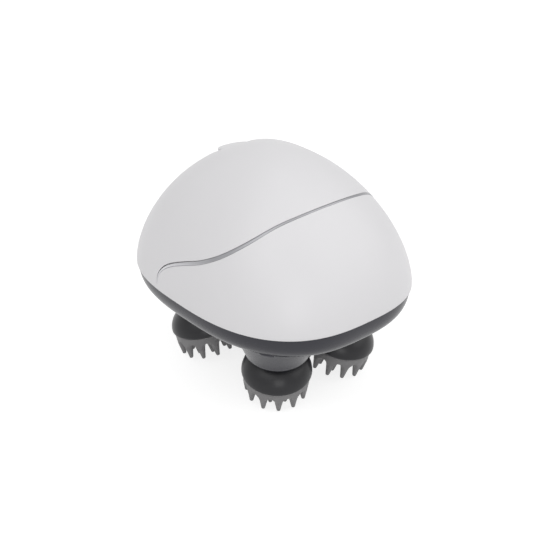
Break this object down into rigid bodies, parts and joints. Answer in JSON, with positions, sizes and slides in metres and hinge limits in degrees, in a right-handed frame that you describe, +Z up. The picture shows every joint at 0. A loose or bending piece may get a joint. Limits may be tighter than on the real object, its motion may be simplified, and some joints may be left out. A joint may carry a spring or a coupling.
{
  "type": "electric scalp massager",
  "caption": "Palm-held scalp massager: white domed cover, grey casing, and turning bell heads with soft fingers driven by a bevel gear train.",
  "frame": {"origin": "centre of the footprint, on the plane that the lowest fingertips stand on", "axes": "+Z up through the dome, -Y towards the front, where the silver strip crosses the dome, +X to the right when seen from the front"},
  "size_m": [0.1094, 0.1324, 0.1125],
  "materials": {
    "white_shell": "white moulded plastic with a soft gloss",
    "silver_trim": "satin silver",
    "grey_casing": "dark grey satin moulding",
    "black_rubber": "soft black rubber",
    "screw_steel": "zinc plated",
    "circuit_board": "green solder mask",
    "black_plastic": "black moulding",
    "red_plastic": "red moulding",
    "chassis_plastic": "grey glass-filled moulding",
    "shaft_steel": "ground steel",
    "gear_plastic": "natural acetal",
    "brass_part": "bright brass",
    "motor_steel": "drawn steel can",
    "cell_wrap": "shrink-wrapped cell, density near a lithium cell's",
    "socket_steel": "folded steel",
    "plug_rubber": "grey silicone",
    "bell_black": "black satin moulding",
    "silicone_grey": "soft grey silicone"
  },
  "bodies": {
    "housing": {"upper_cover": "white_shell", "trim_strip": "silver_trim", "lower_casing": "grey_casing", "perimeter_seal": "black_rubber", "casing_screws": "screw_steel", "button_board": "circuit_board", "tact_switch": "black_plastic", "button_screws": "screw_steel", "gearbox_base": "chassis_plastic", "gearbox_bridge": "chassis_plastic", "gearbox_screws": "screw_steel", "drive_axle": "shaft_steel", "idler_pin": "shaft_steel", "motor_can": "motor_steel", "motor_end_cap": "black_plastic", "motor_terminals": "brass_part", "motor_screws": "screw_steel", "battery_cradle": "chassis_plastic", "battery_cell": "cell_wrap", "main_board": "circuit_board", "board_parts": "black_plastic", "charge_board": "circuit_board", "charge_socket": "socket_steel", "shaft_bushes": "gear_plastic", "shaft_seals": "black_rubber"},
    "drive": {"drive_gear": "gear_plastic", "sun_bevel": "gear_plastic"},
    "idler": {"idler_gear": "gear_plastic"},
    "rotor": {"rotor_shaft": "shaft_steel", "motor_pinion": "brass_part"},
    "button": {"power_button": "white_shell", "switch_plunger": "red_plastic"},
    "plug": {"port_plug": "plug_rubber"},
    "head_fl": {"head_gear_fl": "gear_plastic", "head_shaft_fl": "shaft_steel", "head_hub_fl": "bell_black", "finger_pad_fl": "silicone_grey", "head_screw_fl": "screw_steel"},
    "head_fr": {"head_gear_fr": "gear_plastic", "head_shaft_fr": "shaft_steel", "head_hub_fr": "bell_black", "finger_pad_fr": "silicone_grey", "head_screw_fr": "screw_steel"},
    "head_rl": {"head_gear_rl": "gear_plastic", "head_shaft_rl": "shaft_steel", "head_hub_rl": "bell_black", "finger_pad_rl": "silicone_grey", "head_screw_rl": "screw_steel"},
    "head_rr": {"head_gear_rr": "gear_plastic", "head_shaft_rr": "shaft_steel", "head_hub_rr": "bell_black", "finger_pad_rr": "silicone_grey", "head_screw_rr": "screw_steel"}
  },
  "joints": [
    {"name": "drive_spin", "type": "hinge", "parent": "housing", "child": "drive", "pos_m": [0, 0, 0.05716], "axis": [0, 0, 1], "continuous": true},
    {"name": "idler_spin", "type": "hinge", "parent": "housing", "child": "idler", "pos_m": [0, -0.015, 0.06116], "axis": [0, 0, 1], "continuous": true},
    {"name": "rotor_spin", "type": "hinge", "parent": "housing", "child": "rotor", "pos_m": [0, 0, 0.06516], "axis": [0, 0, 1], "continuous": true},
    {"name": "head_fl_spin", "type": "hinge", "parent": "housing", "child": "head_fl", "pos_m": [-0.0186, -0.0254, 0.00323], "axis": [-0.1329, -0.1815, 0.9744], "continuous": true},
    {"name": "head_fr_spin", "type": "hinge", "parent": "housing", "child": "head_fr", "pos_m": [0.0186, -0.0254, 0.00323], "axis": [0.1329, -0.1815, 0.9744], "continuous": true},
    {"name": "head_rl_spin", "type": "hinge", "parent": "housing", "child": "head_rl", "pos_m": [-0.0186, 0.0254, 0.00323], "axis": [-0.1329, 0.1815, 0.9744], "continuous": true},
    {"name": "head_rr_spin", "type": "hinge", "parent": "housing", "child": "head_rr", "pos_m": [0.0186, 0.0254, 0.00323], "axis": [0.1329, 0.1815, 0.9744], "continuous": true},
    {"name": "button_press", "type": "slide", "parent": "housing", "child": "button", "axis": [0, -0.4756, -0.8797], "range_m": [0, 0.0006], "stiffness_N_per_m": 1500},
    {"name": "plug_pull", "type": "slide", "parent": "housing", "child": "plug", "axis": [0, 1, 0], "range_m": [0, 0.008]}
  ],
  "couplings": [
    {"joint": "idler_spin", "follows": "drive_spin", "ratio": -3.1667},
    {"joint": "rotor_spin", "follows": "drive_spin", "ratio": 15.833},
    {"joint": "head_fl_spin", "follows": "drive_spin", "ratio": -1.6364},
    {"joint": "head_fr_spin", "follows": "drive_spin", "ratio": -1.6364},
    {"joint": "head_rl_spin", "follows": "drive_spin", "ratio": -1.6364},
    {"joint": "head_rr_spin", "follows": "drive_spin", "ratio": -1.6364}
  ]
}
